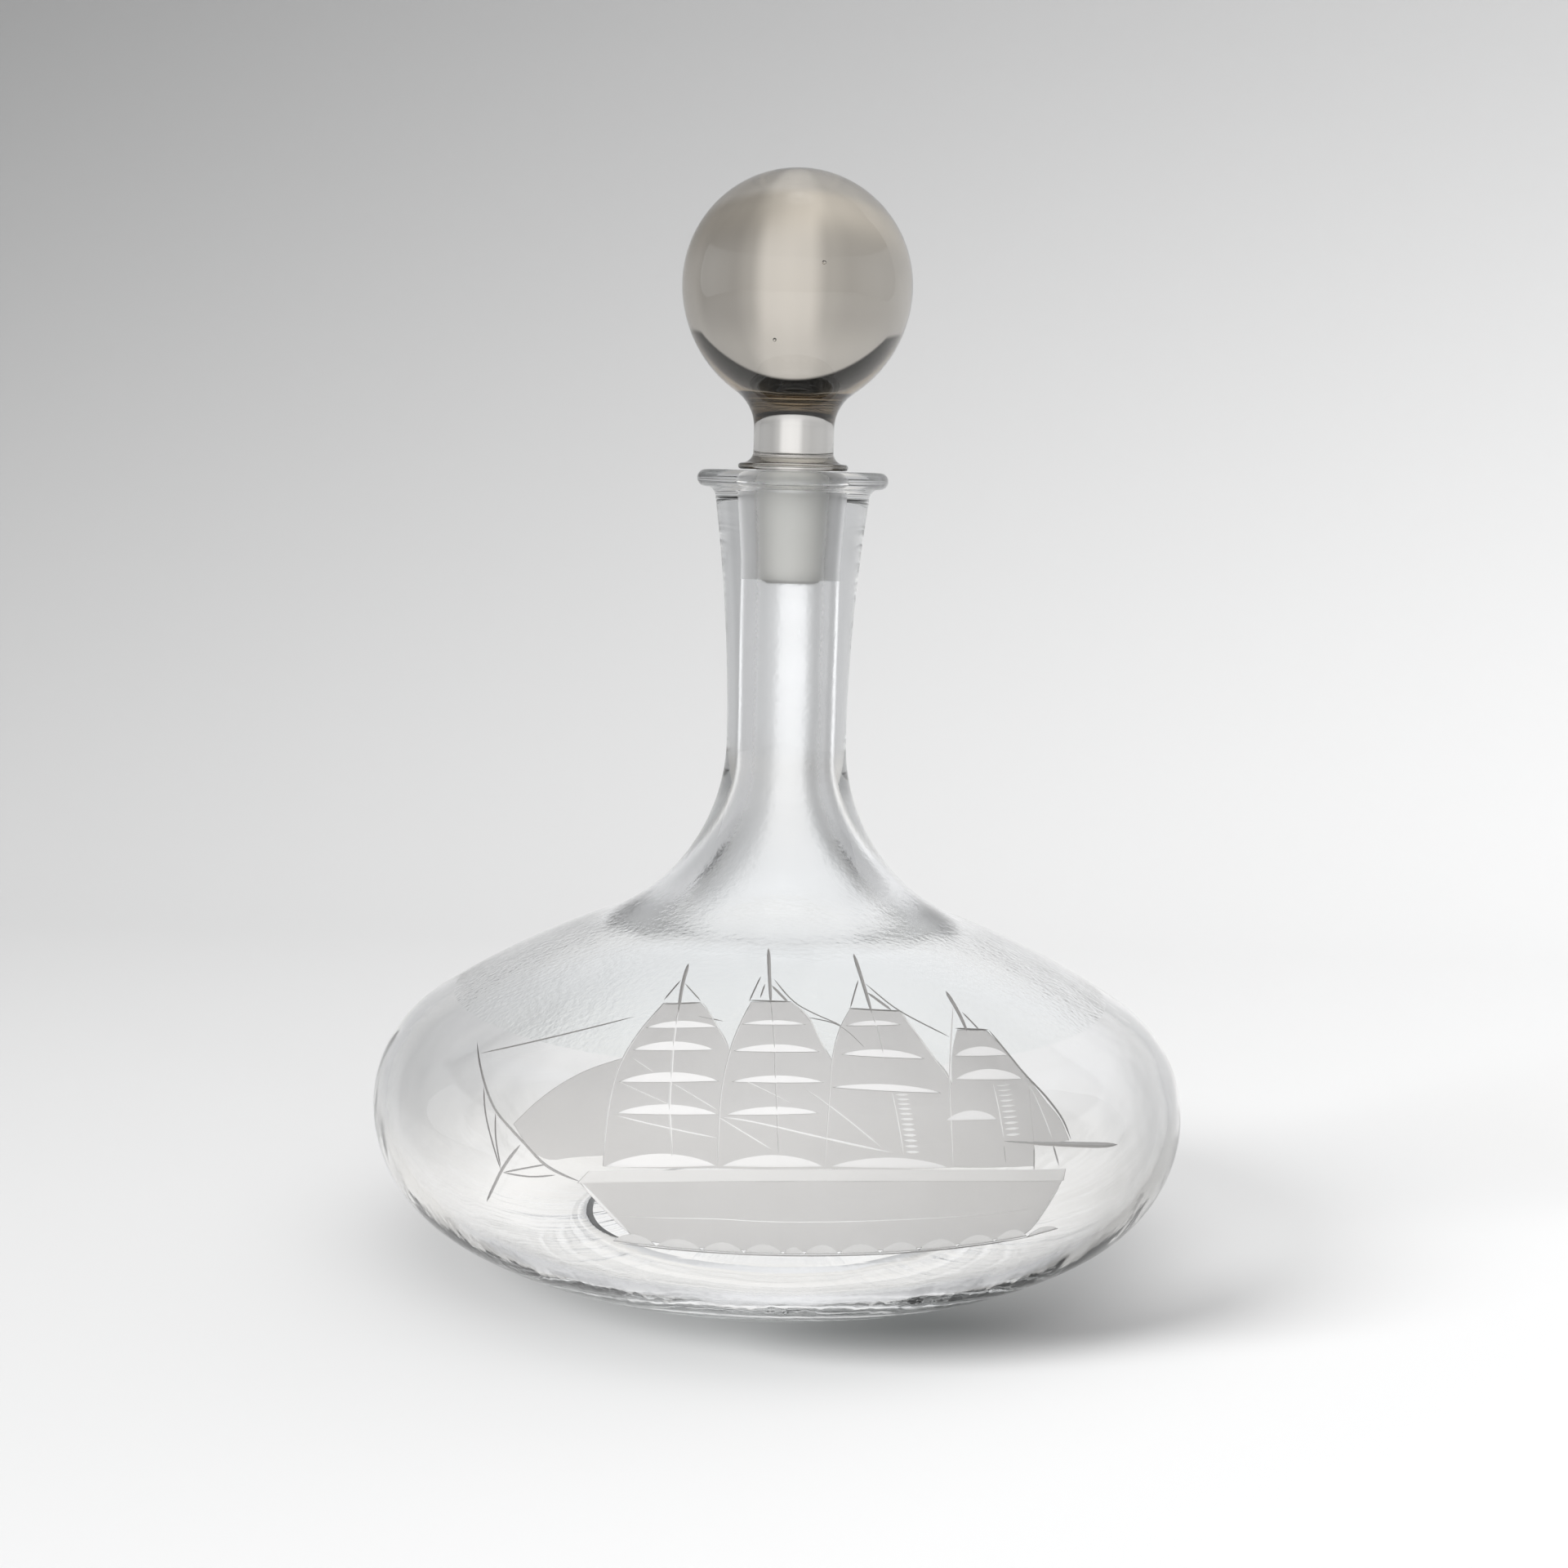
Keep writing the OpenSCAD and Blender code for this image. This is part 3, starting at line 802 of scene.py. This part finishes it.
class Engraver:
    """Cuts the drawing into the glass, one cut after another."""

    def __init__(self, glass):
        self.glass = glass
        self.line, self.belly = bowl_line()
        self.field_tree, self.stroke_tree = field_tree(), stroke_tree()
        self.cutters = []

    def keep(self, name, lines, tree, values):
        """One cutter made from drawn lines by its tree."""
        drawn = lines_object(name, *([(x, s, 0) for x, s in line] for line in lines))
        self.cutters.append(run_tree(drawn, tree, {"Outline": self.line, "Belly": self.belly, **values}))

    def field(self, first, second, columns, rows, finish, depth=(FROST_DEPTH, FROST_DEPTH), smooth=True):
        """A field between two edges. Both run the same way, with the second to the left of the first."""
        self.keep("field", (first, second), self.field_tree, {
            "Columns": columns, "Rows": rows, "Smooth": smooth, "Finish": finish,
            "Depth First": depth[0], "Depth Second": depth[1],
        })

    def stroke(self, path, width, finish, depth=0.18, end_width=None, columns=None):
        """A stroke along a path, as wide as given, or running from one width to another.

        Bright strokes cross the frosted sails, so they go in below that skin. The others are cut into
        clear glass, and their edges start a little above it, so that they have no upright walls.
        """
        below = FROST_DEPTH if finish in (BRIGHT, SOFT) else 0.0
        length = sum(math.dist(a, b) for a, b in zip(path, path[1:]))
        self.keep("stroke", (path,), self.stroke_tree, {
            "Columns": columns or max(4, round(length / COLUMN_RUN)), "Rows": 2, "Smooth": len(path) > 2,
            "Finish": finish, "Depth": depth + below, "Edge Depth": below - EDGE_ABOVE,
            "Width Start": width, "Width End": end_width or width,
        })

    def crescent(self, left, right, height, finish, depth=0.34, columns=14):
        """A crescent of one wheel mark: a flat foot from left to right, and a round back above it."""
        (x0, s0), (x1, s1) = left, right
        shares = [i / CRESCENT_STEPS for i in range(CRESCENT_STEPS + 1)]
        foot = [(x0 + (x1 - x0) * t, s0 + (s1 - s0) * t) for t in shares]
        back = [(x, s + height * math.sin(math.pi * t) ** 0.75) for t, (x, s) in zip(shares, foot)]
        self.field(foot, back, columns, 2, finish, (depth, FROST_DEPTH + SOFT_EDGE), smooth=False)

    def layers(self):
        """Cuts that stay clear of each other, gathered so that each gathering is ground away at once."""
        gathered, boxes = [], []
        for cutter in self.cutters:
            corners = np.array(cutter.bound_box)
            low, high = corners.min(axis=0), corners.max(axis=0)
            level = 0
            for other_low, other_high, other_level in boxes:
                if (low < other_high).all() and (high > other_low).all():
                    level = max(level, other_level + 1)
            boxes.append((low, high, level))
            if level == len(gathered):
                gathered.append([])
            gathered[level].append(cutter)
        return gathered

    def gather(self, cutters):
        """One object made of several cutters, each with its own finish."""
        mesh = bpy.data.meshes.new("cutters")
        finishes = []
        joined = bmesh.new()
        for cutter in cutters:
            finish = cutter.data.materials[0]
            if finish not in finishes:
                finishes.append(finish)
                mesh.materials.append(finish)
            before = len(joined.faces)
            joined.from_mesh(cutter.data)
            joined.faces.ensure_lookup_table()
            for face in joined.faces[before:]:
                face.material_index = finishes.index(finish)
        joined.to_mesh(mesh)
        joined.free()
        return new_object("cutters", mesh)

    def cut(self):
        """Grinds every cut out of the glass, in order, and removes the cutters."""
        gathered = [self.gather(cutters) for cutters in self.layers()]
        for cutters in gathered:
            modifier = self.glass.modifiers.new("cut", "BOOLEAN")
            modifier.operation = "DIFFERENCE"
            modifier.solver = "MANIFOLD"
            modifier.material_mode = "TRANSFER"
            modifier.object = cutters
        depsgraph = bpy.context.evaluated_depsgraph_get()
        mesh = bpy.data.meshes.new_from_object(self.glass.evaluated_get(depsgraph), depsgraph=depsgraph)
        self.glass.modifiers.clear()
        take_mesh(self.glass, mesh)
        for obj in [*self.cutters, *gathered, self.line]:
            bpy.data.meshes.remove(obj.data)


# ---------------------------------------------------------------- the drawing: a ship with four masts

# How wide the wheel cuts a rope, and a topmast or a stout stay.
THIN, THICK = 0.42, 0.75


def deck(x):
    """The height of the deck line: a long sheer, highest a little aft of the middle."""
    return 7.4 - 0.00157 * (x - 9) ** 2


# The left edges of the sails on the first two masts: the frost ends there, in a bright line.
FIRST_LEFT = [(-37.5, 7.5), (-37, 19), (-35.5, 31), (-32, 42), (-26.5, 54)]
SECOND_LEFT = [(-12.5, 9.5), (-12.5, 21), (-12, 31), (-10.5, 41.5), (-8.5, 50), (-6.5, 57)]


def engrave_hull(wheel):
    """The hull, the rail over it, and the waves along the waterline."""
    top = [(x, deck(x)) for x in (-42.6, -34, -24, -10, 9, 28, 44, 56, 63.9)]
    foot = [(-32, -6), (-30, -8), *((x, -8.5) for x in (-18, -6, 9, 24, 40, 56)), (57, -7.5)]
    wheel.field(foot, top, 48, 9, FROST, smooth=False)
    rail_foot = [(x, deck(x) - 0.1) for x in (-43.2, -30, -10, 9, 28, 46, 64.2)]
    rail_head = [(x, deck(x) + 2.5) for x in (-40.7, -28, -10, 9, 28, 46, 64.7)]
    wheel.field(rail_foot, rail_head, 48, 1, SOFT, depth=(0.2, 0.15))
    wheel.stroke([(x, deck(x)) for x in (-42.8, -30, -10, 9, 28, 46, 64)], 0.3, SHADED, 0.24)
    wheel.stroke([(63.5, 2), (60.5, -2.5), (57, -7.5)], 0.5, BRIGHT)
    wheel.stroke([(-42.5, 3.5), (-37.5, -1), (-31.5, -6.5)], 0.75, BRIGHT)
    wheel.stroke([(-34, -3), (-14.5, -1.5), (-1.5, -1.5), (27.5, -1.5), (56.5, -2.5)], 0.28, BRIGHT, 0.14)
    crests = (-35, -25.5, -15.5, -6.5, 2, 6.5, 14, 23, 31.5, 40, 48.5, 56)
    for x0, x1 in zip(crests, crests[1:]):
        wheel.crescent((x0, -9.2), (x1, -9.2), 2.4 if x1 - x0 > 5 else 1.8, SOFT, 0.3, 8)
    wheel.crescent((56, -9.5), (63.5, -9), 1.6, SOFT, 0.3, 8)
    wheel.stroke([(-34, -9.5), (-10, -9.5), (20, -9.5), (58, -9.5)], 0.4, SHADED, 0.16)


def engrave_sails(wheel):
    """The frosted sails: the jib and spanker first, then one tall field for each mast."""
    jib_foot = [(-54.5, 8.5), (-50, 7), (-44, 8.5), (-36.5, 10)]
    jib_back = [(-58.5, 13), (-53, 19.5), (-47, 25.5), (-41, 30.5), (-33, 35.5)]
    wheel.field(jib_foot, jib_back, 14, 14, FROST, depth=(THIN_FROST, THIN_FROST))
    wheel.field(
        [(65.5, 11), (63.5, 16), (60, 21), (55, 29.5)],
        [(55.5, 11.5), (55.5, 17), (55, 23), (54, 29)],
        10, 6, FROST, depth=(THIN_FROST, THIN_FROST),
    )
    fields = (
        (
            [(-12.5, 9.5), (-12.5, 21.5), (-12, 30.5), (-11, 40.5), (-14.5, 49), (-18, 55.5)],
            FIRST_LEFT,
        ),
        (
            [(11, 10), (11.5, 22), (12, 31), (12, 37), (9, 44.5), (6.5, 51.5), (2.5, 57.5)],
            SECOND_LEFT,
        ),
        (
            [(38.5, 9), (38.5, 28.5), (34.5, 37.5), (31, 44.5), (27.5, 53)],
            [(10.5, 10), (11.5, 31), (12, 39), (13.5, 47.5), (16, 55)],
        ),
        (
            [(57, 7), (57, 12), (56.5, 20), (56, 27.5), (52, 35.5), (47.5, 43.5)],
            [(38.5, 9), (38.5, 18), (38.5, 29), (39, 38), (40.5, 45)],
        ),
    )
    # Neighbours overlap a little, so each second one goes a touch deeper.
    for number, (right, left) in enumerate(fields):
        deep = FROST_DEPTH + NEIGHBOUR_STEP * (number % 2)
        wheel.field(right, left, 26, 12, FROST, depth=(deep, deep))


def engrave_canvas(wheel):
    """The bright bellies of the sails, one wheel mark each: left end, right end, height."""
    sails = (
        ((-30, 45), (-14, 47.5), 2.4),
        ((-32.5, 37.5), (-14.5, 40), 2.9),
        ((-35, 27.5), (-13, 30.5), 3.0),
        ((-35, 19.5), (-13, 21.5), 2.5),
        ((-37, 7.5), (-13, 10), 2.9),
        ((-8.5, 49), (6, 49.5), 1.6),
        ((-10, 40), (9, 40.5), 2.5),
        ((-10, 30.5), (10, 31), 2.2),
        ((-11, 21.5), (9, 22.5), 2.0),
        ((-11.5, 10), (10, 10.5), 2.6),
        ((15, 49), (27.5, 48.5), 1.7),
        ((14, 39.5), (32.5, 37), 2.5),
        ((12, 29.5), (36, 26.5), 2.0),
        ((12, 10.5), (37.5, 9), 2.3),
        ((39.5, 37), (52, 35), 2.9),
        ((39.5, 30), (55, 27.5), 3.1),
        ((37, 19.5), (48.5, 18.5), 2.3),
    )
    for left, right, height in sails:
        wheel.crescent(left, right, height, BRIGHT)


def engrave_spars(wheel):
    """Masts, yards, boom and bowsprit."""
    wheel.stroke(
        [(-22.5, 10.5), (-22.5, 13), (-23, 17.5), (-23.5, 23), (-23.5, 32), (-23.5, 42), (-23, 53)],
        0.65, BRIGHT, 0.16,
    )
    wheel.stroke([(0.5, 13), (-0.5, 30.5), (-1, 43.5), (-2, 56.5)], 0.45, SOFT, 0.14)
    wheel.stroke([(23.5, 37.5), (22.5, 45.5), (21, 52.5)], 0.45, SOFT, 0.14)
    topmasts = (
        ((-23, 51), (-22.5, 61.5), (-21.5, 70)),
        ((-2, 56), (-2.5, 66), (-3, 79)),
        ((21, 52.5), (19, 64.5), (17, 76.5)),
        ((43, 43.5), (41, 51), (38.5, 58.5)),
    )
    for path in topmasts:
        wheel.stroke(path, THICK, SHADED, 0.24, 1.0)
    yards = (
        ((-27, 53.5), (-18, 55.5)),
        ((-7, 57.5), (2.5, 57.5)),
        ((15.5, 55), (28, 53)),
        ((40, 45.5), (48, 43.5)),
    )
    for path in yards:
        wheel.stroke(path, 0.55, SHADED, 0.24)
    wheel.stroke([(49.5, 13.5), (64, 10.5), (78, 7)], 0.9, SHADED, 0.24, 1.5)
    wheel.stroke(
        [(-70, 29.5), (-68.5, 25), (-66, 19.5), (-63, 15), (-58.5, 11.5), (-55, 9), (-51, 6),
         (-47, 4.5), (-42.5, 3.5)],
        0.6, SHADED, 0.24, 0.8,
    )


def engrave_edges(wheel):
    """The thin bright outlines of the sails."""
    wheel.stroke(FIRST_LEFT, 0.4, BRIGHT, 0.14)
    wheel.stroke(SECOND_LEFT, 0.4, BRIGHT, 0.14)
    wheel.stroke([(10.5, 10.5), (11.5, 31), (12, 39), (13.5, 47.5), (16, 55)], 0.3, BRIGHT, 0.13)
    right_edges = (
        ((-11.5, 41.5), (-14.5, 49), (-17.5, 55.5)),
        ((11.5, 38), (9, 44.5), (6.5, 52), (2.5, 57.5)),
        ((38, 30), (34.5, 37.5), (31, 45), (27.5, 53)),
    )
    for path in right_edges:
        wheel.stroke(path, 0.35, BRIGHT, 0.13)
    wheel.stroke([(48, 43.5), (52, 35.5), (56, 28), (60.5, 21.5), (64, 16), (66, 11)], 0.5, SHADED, 0.22)
    wheel.stroke([(38.5, 9), (38, 29), (40, 53)], 0.3, BRIGHT, 0.13)
    wheel.stroke([(56, 26), (57.5, 23), (61.5, 12)], 0.3, BRIGHT, 0.13)


def engrave_rigging(wheel):
    """Stays over the topmasts, the bow's rigging, and the braces across the sails."""
    stays = (
        (THIN, (-68.5, 27), (-33, 48)),
        (THIN, (-23, 63), (-26.5, 55)),
        (THIN, (-22, 62), (-18, 56)),
        (THIN, (-4.5, 67), (-7, 57)),
        (THIN, (-3.5, 64), (-4.5, 58.5)),
        (THIN, (-1.5, 66), (4, 56.5), (14, 49)),
        (THIN, (6, 52), (13.5, 49), (19.5, 41)),
        (THIN, (18, 65.5), (16, 55)),
        (THIN, (19.5, 64), (27, 53.5), (38.5, 43)),
        (THIN, (-19.5, 51), (-12.5, 49.5)),
        (THIN, (42, 50.5), (46, 43.5)),
        (THICK, (-56.5, 9), (-60.5, 3), (-64.5, -6)),
        (THIN, (-66.5, 19.5), (-65.5, 14), (-63.5, 8.5), (-61, 2.5)),
        (THIN, (-63, 14.5), (-62.5, 9), (-61, 3)),
        (THIN, (-60.5, 2), (-55.5, 4), (-50, 6)),
        (THIN, (-60.5, 2), (-54, 2.5), (-48, 4)),
        (THIN, (57, 11.5), (57, 6)),
        (THIN, (61.5, 11), (63, 6)),
        (THIN, (50, 13), (50.5, 8)),
    )
    for width, *path in stays:
        wheel.stroke(path, width, SHADED, 0.18)
    for path in (((-2, 63.5), (2, 57)), ((20, 60.5), (25.5, 53.5))):
        wheel.stroke(path, THICK, SHADED, 0.22)
    braces = (
        (0.55, (-13, 21), (-2, 19.5), (25.5, 13)),
        (THIN, (-32.5, 35), (-27.5, 31.5)),
        (THIN, (-35, 27.5), (-23.5, 23)),
        (THIN, (-23.5, 29), (-13, 22.5)),
        (THIN, (-35.5, 19), (-12.5, 16)),
        (THIN, (-8, 31.5), (3, 25)),
        (THIN, (-13, 21), (-1, 14)),
        (THIN, (5.5, 29.5), (23, 14)),
    )
    for width, *path in braces:
        wheel.stroke(path, width, BRIGHT, 0.13)


def engrave_ratlines(wheel):
    """The rope ladders up to the two after masts: a rail, and rungs beside it."""
    ladders = (((25, 27.5), (27.5, 12.5), 12, 3.0), ((48, 27.5), (50, 14), 10, 3.4))
    for head, foot, rungs, wide in ladders:
        wheel.stroke([head, foot], THIN, BRIGHT, 0.13)
        for i in range(rungs):
            share = (i + 0.5) / rungs
            x = head[0] + (foot[0] - head[0]) * share + 0.6
            s = head[1] + (foot[1] - head[1]) * share
            wheel.stroke([(x, s), (x + wide, s - 0.25)], 0.7, BRIGHT, 0.14, columns=3)


def engrave(glass):
    """The whole drawing, cut in the order that an engraver would."""
    wheel = Engraver(glass)
    engrave_sails(wheel)
    engrave_hull(wheel)
    engrave_canvas(wheel)
    engrave_edges(wheel)
    engrave_rigging(wheel)
    engrave_ratlines(wheel)
    engrave_spars(wheel)
    wheel.cut()


# ---------------------------------------------------------------- the finished pieces

def seed_tree():
    """Small bubbles of air, one at each point: shells that face into the air they hold."""
    sheet, given, result = geometry_tree("seeds", {
        "Radius": "NodeSocketFloat", "Finish": "NodeSocketMaterial",
    })
    ball = sheet.add("GeometryNodeMeshIcoSphere", {"Radius": given["Radius"], "Subdivisions": 3})
    hollow = sheet.shape("FlipFaces", ball.outputs[0])
    stretched = sheet.add("FunctionNodeRandomValue", {
        0: (0.8, 0.8, 0.8), 1: (1.1, 1.0, 1.4), "Seed": 4,
    }, data_type="FLOAT_VECTOR").outputs[0]
    placed = sheet.shape("InstanceOnPoints", given["Geometry"], {"Instance": hollow, "Scale": stretched})
    return end_tree(sheet, result, placed, given["Finish"])


def add_seeds(glass):
    """Puts the bubbles' shells into the stopper's mesh."""
    places = lines_object("seeds", *([Vector(seed) * MM] for seed in SEEDS))
    bubbles = run_tree(places, seed_tree(), {"Radius": SEED_R * MM, "Finish": STRAW})
    joined = bmesh.new()
    joined.from_mesh(glass.data)
    joined.from_mesh(bubbles.data)
    joined.to_mesh(glass.data)
    joined.free()
    bpy.data.meshes.remove(bubbles.data)


decanter, decanter_normals = turn_decanter()
engrave(decanter)
decanter_normals.shade(decanter, own_finish=[
    i for i, slot in enumerate(decanter.data.materials) if slot in (BRIGHT, SOFT, SHADED)
])
stopper = turn_stopper()

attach(decanter, "decanter")
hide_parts("decanter_body")
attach(stopper, "stopper")
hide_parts("ball_stopper")


# ---------------------------------------------------------------- studio

def painted_shade_paper():
    """Pale paper, its colour painted with shade: white at the front right, grey at the top left of the
    sweep.
    """
    material, sheet, output = new_material("studio_paper")
    x, y, z = sheet.apart(sheet.place())
    white, to_back, to_right, pale, darkest, lightest = 0.96, -0.30, 0.32, 0.88, 0.1, 0.9
    # The grey towards the back, up the wall and to the left is painted shade, not the paper's own colour.
    climb = sheet.math("MULTIPLY_ADD", sheet.math("ADD", y, z), to_back, white)
    tone = sheet.times(sheet.math("MULTIPLY_ADD", x, to_right, climb), pale)
    tone = sheet.math("MINIMUM", sheet.math("MAXIMUM", tone, darkest), lightest)
    grey = sheet.add("ShaderNodeCombineColor", {0: tone, 1: tone, 2: tone})
    paper = sheet.add("ShaderNodeBsdfPrincipled", {
        "Base Color": grey.outputs[0], "Roughness": 0.9, "Specular IOR Level": 0.0,
    })
    sheet.tree.links.new(paper.outputs[0], output.inputs["Surface"])
    return material


def paper_sweep():
    """A floor that curves up into a wall behind, as one sheet of studio paper."""
    half, front, back, bend, top = 2.2, -1.6, 0.9, 0.5, 2.4
    path = [(front, 0.0), *arc((back - bend, bend), bend, -90, 0, 5), (back, top)]
    points = [(x, y, z) for y, z in path for x in (-half, half)]
    faces = [(2 * i, 2 * i + 1, 2 * i + 3, 2 * i + 2) for i in range(len(path) - 1)]
    mesh = bpy.data.meshes.new("paper_sweep")
    mesh.from_pydata(points, [], faces)
    mesh.materials.append(painted_shade_paper())
    for face in mesh.polygons:
        face.use_smooth = True
    sweep = new_object("paper_sweep", mesh)
    # The glass shows the studio's air behind it, as glass lit from behind does, and not the paper.
    sweep.visible_transmission = False


def hang(light, way, place=(0, 0, 0)):
    """Hangs a light that shines along a direction, and isn't itself seen in anything."""
    obj = new_object(light.name, light)
    obj.location = place
    obj.rotation_euler = Vector(way).to_track_quat("-Z", "Y").to_euler()
    obj.visible_camera = False
    obj.visible_glossy = False
    obj.visible_transmission = False


def softbox(name, place, target, size, power):
    """A large soft light that looks at a target."""
    light = bpy.data.lights.new(name, "AREA")
    light.shape = "RECTANGLE"
    light.size, light.size_y = size
    light.energy = power
    hang(light, Vector(target) - Vector(place), place)


def lamp(name, way, spread, power):
    """A distant soft lamp that shines along a direction, as wide as spread in degrees."""
    light = bpy.data.lights.new(name, "SUN")
    light.angle = math.radians(spread)
    light.energy = power
    hang(light, way)


def camera():
    """A camera a little above the lip, looking slightly down, with a slight lean."""
    place = (-0.0003, -0.6137, 0.1949)
    look_down, lean = math.radians(7.18), math.radians(1.42)
    data = bpy.data.cameras.new("camera")
    data.lens = 56.7
    data.sensor_width = 36
    obj = new_object("camera", data)
    turn = Matrix.Rotation(math.pi / 2 - look_down, 4, "X") @ Matrix.Rotation(lean, 4, "Z")
    obj.matrix_world = Matrix.Translation(place) @ turn
    bpy.context.scene.camera = obj


def ramp(sheet, value, stops):
    """A smooth tone over value, from stops of (place, grey)."""
    node = sheet.add("ShaderNodeValToRGB", {0: value})
    node.color_ramp.interpolation = "EASE"
    elements = node.color_ramp.elements
    while len(elements) < len(stops):
        elements.new(0.5)
    for element, (place, grey) in zip(elements, stops):
        element.position = place
        element.color = (grey, grey, grey, 1)
    return node.outputs[0]


def studio_air():
    """The room that the glass shows: a bright column behind, grey to the sides, dark above, pale below."""
    world = bpy.data.worlds.new("studio_air")
    world.use_nodes = True
    world.node_tree.nodes.clear()
    sheet = Sheet(world.node_tree)

    def eased(angle, start, end):
        """From 0 to 1 as an angle goes from start to end, in degrees."""
        return sheet.spread(angle, math.radians(start), math.radians(end), smooth=True)

    def less(value):
        """What value leaves of 1."""
        return sheet.math("SUBTRACT", 1.0, value)

    x, y, z = sheet.apart(sheet.add("ShaderNodeTexCoord").outputs["Generated"])
    # The bright column stands a little to the right of straight behind.
    around = sheet.math("SUBTRACT", sheet.math("ARCTAN2", x, y), math.radians(3))
    round_about = sheet.math("ABSOLUTE", around)
    rise = sheet.math("ARCSINE", z)
    turn = sheet.math("DIVIDE", round_about, math.pi)
    level = ramp(sheet, turn, [
        (0.0, 1.08), (0.035, 1.04), (0.075, 0.66), (0.12, 0.58), (0.3, 0.56), (0.43, 0.58), (0.5, 0.74),
        (0.58, 0.66), (0.68, 0.36), (1.0, 0.34),
    ])
    steep = ramp(sheet, turn, [
        (0.0, 1.0), (0.04, 0.95), (0.1, 0.76), (0.2, 0.7), (0.3, 0.6), (0.42, 0.56), (0.5, 0.5),
        (0.58, 0.4), (0.66, 0.32), (1.0, 0.32),
    ])
    across = sheet.colour(eased(sheet.math("ABSOLUTE", rise), 12, 28), level, steep)
    upward = ramp(sheet, sheet.math("MULTIPLY_ADD", rise, 1 / math.pi, 0.5), [
        (0.0, 0.75), (0.22, 0.92), (0.42, 0.97), (0.5, 1.0), (0.64, 0.9), (0.9, 0.7), (0.94, 1.0),
        (1.0, 1.0),
    ])
    # The backdrop ends in a dark edge, lower to the sides, and the ceiling is bright again above it.
    bow = less(sheet.math("COSINE", sheet.math("MINIMUM", round_about, math.radians(52))))
    over_edge = eased(sheet.math("MULTIPLY_ADD", bow, 0.8, rise), 40, 43)
    dark = sheet.times(over_edge, eased(rise, 84, 78), 0.975)
    # Low down, the right is in shade, and the table's light is a little warmer than the room's.
    low = sheet.times(eased(rise, -5, -25), eased(rise, -42, -32))
    side = sheet.math("MAXIMUM", sheet.math("MINIMUM", sheet.times(x, 1.2), 0.24), -0.16)
    leaning = less(sheet.times(low, side))
    # The right of the room is a little duller than the left, behind the glass.
    dull = sheet.times(eased(around, 8, 20), eased(around, 50, 38), 0.17)
    light = sheet.times(less(dark), leaning, less(dull))
    tint = sheet.colour(low, (0.975, 0.985, 1.0, 1), (1.0, 0.985, 0.955, 1))
    shade = sheet.add("ShaderNodeVectorMath", {0: tint, "Scale": light}, operation="SCALE").outputs[0]
    tone = sheet.colour(1.0, sheet.colour(1.0, across, upward, "MULTIPLY"), shade, "MULTIPLY")
    air = sheet.add("ShaderNodeBackground", {"Color": tone, "Strength": 1.0})
    output = sheet.add("ShaderNodeOutputWorld")
    sheet.tree.links.new(air.outputs[0], output.inputs["Surface"])
    return world


def studio():
    """Paper, lights and the air around them."""
    scene = bpy.context.scene
    paper_sweep()
    camera()
    lamp("key_light", (0.75, 0.35, -0.56), 26, 2.9)
    softbox("top_light", (0.1, 0.0, 1.9), (0, 0.2, 0), (2.4, 2.4), 15)
    softbox("wall_light", (0.2, -1.2, 1.2), (0, 0.9, 0.4), (2.0, 1.0), 9)
    scene.world = studio_air()
    scene.view_settings.view_transform = "Standard"
    scene.cycles.caustics_reflective = False
    scene.cycles.caustics_refractive = False
    # Light that glances along inside thick glass needs many turns before it comes out.
    scene.cycles.max_bounces = 28
    scene.cycles.glossy_bounces = 20
    scene.cycles.transmission_bounces = 28


studio()
